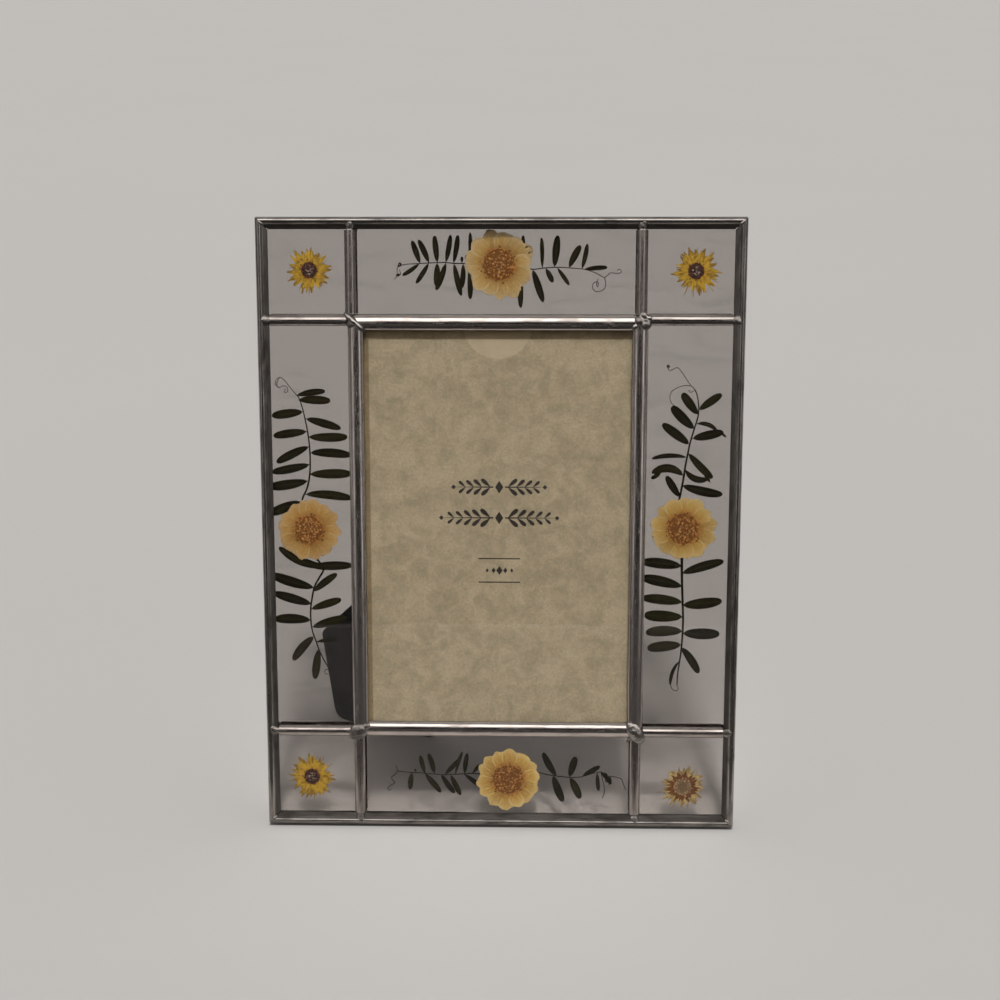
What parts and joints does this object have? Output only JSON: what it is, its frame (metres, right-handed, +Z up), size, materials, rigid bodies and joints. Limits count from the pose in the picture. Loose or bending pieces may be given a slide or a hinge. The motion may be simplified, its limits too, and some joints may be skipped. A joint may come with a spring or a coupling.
{
  "type": "pressed flower frame",
  "caption": "Leaning picture frame of glass panels in metal came, with pressed flowers and sprigs around a central photo pocket and a hinged easel leg behind.",
  "frame": {"origin": "bottom centre of the bounding box of the standing frame, leg opened, on the surface it stands on", "axes": "+X to the frame's right seen from its front, +Y to the back, where the leg stands, +Z up"},
  "size_m": [0.178, 0.0842, 0.2251],
  "materials": {
    "came": "solder-tinned came, polished and then tarnished in streaks",
    "pane": "clear window glass, slightly dusty",
    "card": "matt parchment-coloured card with fine flecks",
    "board": "pressed board covered in matt charcoal paper",
    "steel": "plated steel with a dull shine",
    "petal": "dried yellow petals around speckled rust-brown discs",
    "leaf": "dried leaves, near-black olive"
  },
  "bodies": {
    "frame": {"border_came_left": "came", "border_came_top": "came", "border_came_right": "came", "border_came_bottom": "came", "pocket_came_left": "came", "pocket_came_top": "came", "pocket_came_right": "came", "pocket_came_bottom": "came", "upright_came_top_left": "came", "upright_came_top_right": "came", "upright_came_bottom_left": "came", "upright_came_bottom_right": "came", "cross_came_upper_left": "came", "cross_came_upper_right": "came", "cross_came_lower_left": "came", "cross_came_lower_right": "came", "front_pane_top_left": "pane", "front_pane_top": "pane", "front_pane_top_right": "pane", "front_pane_left": "pane", "front_pane_right": "pane", "front_pane_bottom_left": "pane", "front_pane_bottom": "pane", "front_pane_bottom_right": "pane", "back_pane_top_left": "pane", "back_pane_top": "pane", "back_pane_top_right": "pane", "back_pane_left": "pane", "back_pane_right": "pane", "back_pane_bottom_left": "pane", "back_pane_bottom": "pane", "back_pane_bottom_right": "pane", "photo_glass": "pane", "insert_card": "card", "backing_board": "board", "tab_left_lower": "steel", "tab_right_lower": "steel", "tab_left_upper": "steel", "tab_right_upper": "steel", "flower_top": "petal", "flower_left": "petal", "flower_right": "petal", "flower_bottom": "petal", "flower_top_left": "petal", "flower_top_right": "petal", "flower_bottom_left": "petal", "flower_bottom_right": "petal", "sprig_left_upper": "leaf", "sprig_left_lower": "leaf", "sprig_right_upper": "leaf", "sprig_right_lower": "leaf", "sprig_top_left": "leaf", "sprig_top_right": "leaf", "sprig_bottom_left": "leaf", "sprig_bottom_right": "leaf", "hinge_leaf_board": "steel", "hinge_pin": "steel"},
    "easel_leg": {"easel_leg": "board", "hinge_leaf_leg": "steel"}
  },
  "joints": [
    {"name": "leg_fold", "type": "hinge", "parent": "frame", "child": "easel_leg", "pos_m": [0.02, -0.00861, 0.10723], "axis": [-0.7071, 0.1591, 0.689], "range_deg": [0, 28.5]}
  ]
}
